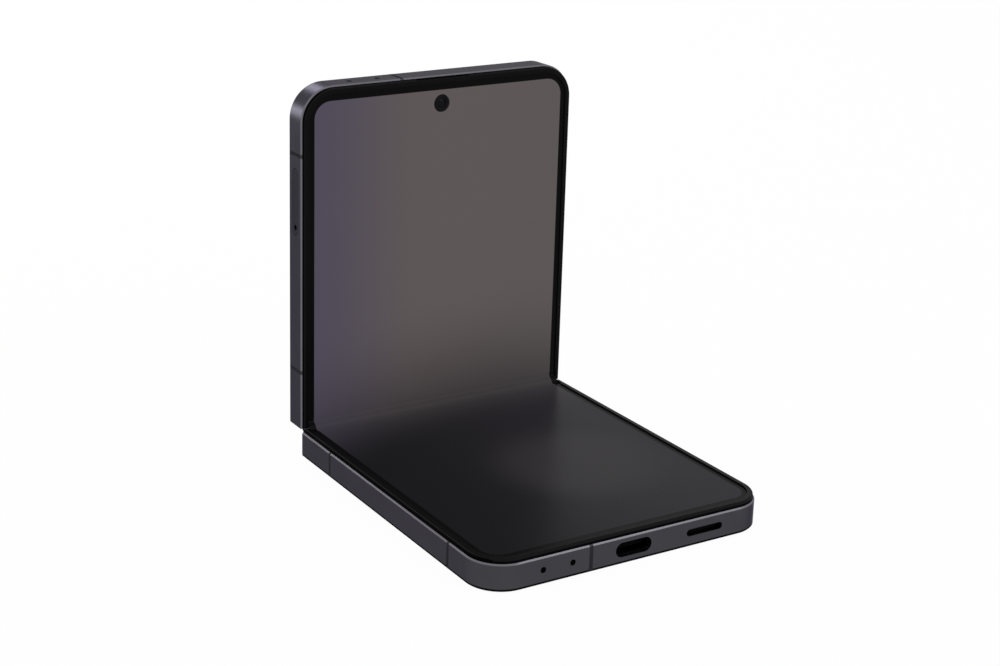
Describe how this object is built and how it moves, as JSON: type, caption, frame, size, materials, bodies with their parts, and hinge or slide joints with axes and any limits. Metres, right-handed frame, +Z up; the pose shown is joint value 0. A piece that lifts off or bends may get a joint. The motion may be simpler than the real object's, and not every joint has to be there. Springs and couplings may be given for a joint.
{
  "type": "foldable smartphone",
  "caption": "Clamshell foldable smartphone stored half open, with a flexible display, geared twin-axis hinge, side keys and a card tray.",
  "frame": {"origin": "middle of the lower half's back face, which lies on the surface", "axes": "+X across the phone to the user's right, +Y along the lower half from its free end to the hinge, +Z up, along the open upper half"},
  "size_m": [0.0724, 0.0887, 0.0876],
  "materials": {
    "band_plastic": "satin",
    "battery": "matt",
    "bezel": "satin",
    "black_plastic": "matt",
    "circuit": "satin",
    "copper": "satin",
    "cover_glass": "satin",
    "display": "gloss",
    "flash_lens": "gloss",
    "gear_steel": "satin",
    "graphite_metal": "satin",
    "lens_glass": "gloss",
    "polyimide": "satin",
    "steel": "satin"
  },
  "bodies": {
    "lower_half": {"lower_frame": "graphite_metal", "lower_back_cover": "cover_glass", "lower_bezel": "bezel", "lower_antenna_bands": "band_plastic", "lower_display": "display", "lower_support_plate": "steel", "lower_battery": "battery", "charging_board": "circuit", "usb_receptacle": "steel", "usb_tongue": "black_plastic", "loudspeaker": "black_plastic", "speaker_mesh": "black_plastic", "vibration_motor": "steel", "bottom_microphones": "circuit", "charging_coil": "copper", "lower_hinge_arms": "steel", "lower_sync_arms": "steel", "lower_hinge_screws": "steel", "lower_display_bend": "display"},
    "spine": {"spine_cover": "graphite_metal", "hinge_brackets": "steel", "cam_followers": "steel", "detent_springs": "steel", "flex_cable": "polyimide"},
    "upper_half": {"upper_frame": "graphite_metal", "upper_back_cover": "cover_glass", "upper_bezel": "bezel", "upper_antenna_bands": "band_plastic", "upper_display": "display", "upper_support_plate": "steel", "upper_battery": "battery", "main_board": "circuit", "board_shield": "steel", "upper_hinge_arms": "steel", "upper_sync_arms": "steel", "upper_hinge_screws": "steel", "upper_display_bend": "display", "cover_display": "display", "front_camera": "black_plastic", "earpiece": "black_plastic", "top_microphones": "circuit", "rear_camera_modules": "black_plastic", "camera_rings": "graphite_metal", "camera_windows": "lens_glass", "flash_lens": "flash_lens", "card_socket": "steel", "key_switches": "circuit"},
    "lower_idlers": {"lower_idler_gears": "gear_steel"},
    "upper_idlers": {"upper_idler_gears": "gear_steel"},
    "lower_wing": {"lower_wing_plate": "steel"},
    "upper_wing": {"upper_wing_plate": "steel"},
    "tray": {"card_tray": "graphite_metal"},
    "power": {"power_key": "graphite_metal"},
    "volume": {"volume_key": "graphite_metal"}
  },
  "joints": [
    {"name": "hinge_lower", "type": "hinge", "parent": "lower_half", "child": "spine", "pos_m": [0, 0.039, 0.00595], "axis": [1, 0, 0], "range_deg": [-45, 45], "deforming": ["lower_display_bend"]},
    {"name": "hinge_upper", "type": "hinge", "parent": "spine", "child": "upper_half", "pos_m": [0, 0.04112, 0.00807], "axis": [1, 0, 0], "range_deg": [-45, 45], "deforming": ["upper_display_bend"]},
    {"name": "lower_idler_turn", "type": "hinge", "parent": "spine", "child": "lower_idlers", "pos_m": [0, 0.04139, 0.00413], "axis": [1, 0, 0], "range_deg": [-78, 78]},
    {"name": "upper_idler_turn", "type": "hinge", "parent": "spine", "child": "upper_idlers", "pos_m": [0, 0.04294, 0.00569], "axis": [1, 0, 0], "range_deg": [-78, 78]},
    {"name": "lower_wing_tilt", "type": "hinge", "parent": "lower_half", "child": "lower_wing", "pos_m": [0, 0.0342, 0.00635], "axis": [1, 0, 0], "range_deg": [-4.01, 4.01]},
    {"name": "upper_wing_tilt", "type": "hinge", "parent": "upper_half", "child": "upper_wing", "pos_m": [0, 0.04072, 0.01287], "axis": [1, 0, 0], "range_deg": [-4.01, 4.01]},
    {"name": "tray_slide", "type": "slide", "parent": "upper_half", "child": "tray", "axis": [-1, 0, 0], "range_m": [0, 0.018]},
    {"name": "power_press", "type": "slide", "parent": "upper_half", "child": "power", "axis": [-1, 0, 0], "range_m": [0, 0.00025], "stiffness_N_per_m": 4000},
    {"name": "volume_rock", "type": "hinge", "parent": "upper_half", "child": "volume", "pos_m": [0.03515, 0.04377, 0.05807], "axis": [0, 1, 0], "range_deg": [-1.2, 1.2], "stiffness_Nm_per_rad": 0.6}
  ],
  "couplings": [
    {"joint": "hinge_upper", "follows": "hinge_lower", "ratio": 1},
    {"joint": "lower_idler_turn", "follows": "hinge_lower", "ratio": 1.7273},
    {"joint": "upper_idler_turn", "follows": "hinge_lower", "ratio": -1.7273},
    {"joint": "lower_wing_tilt", "follows": "hinge_lower", "ratio": -0.088889},
    {"joint": "upper_wing_tilt", "follows": "hinge_lower", "ratio": 0.088889}
  ]
}
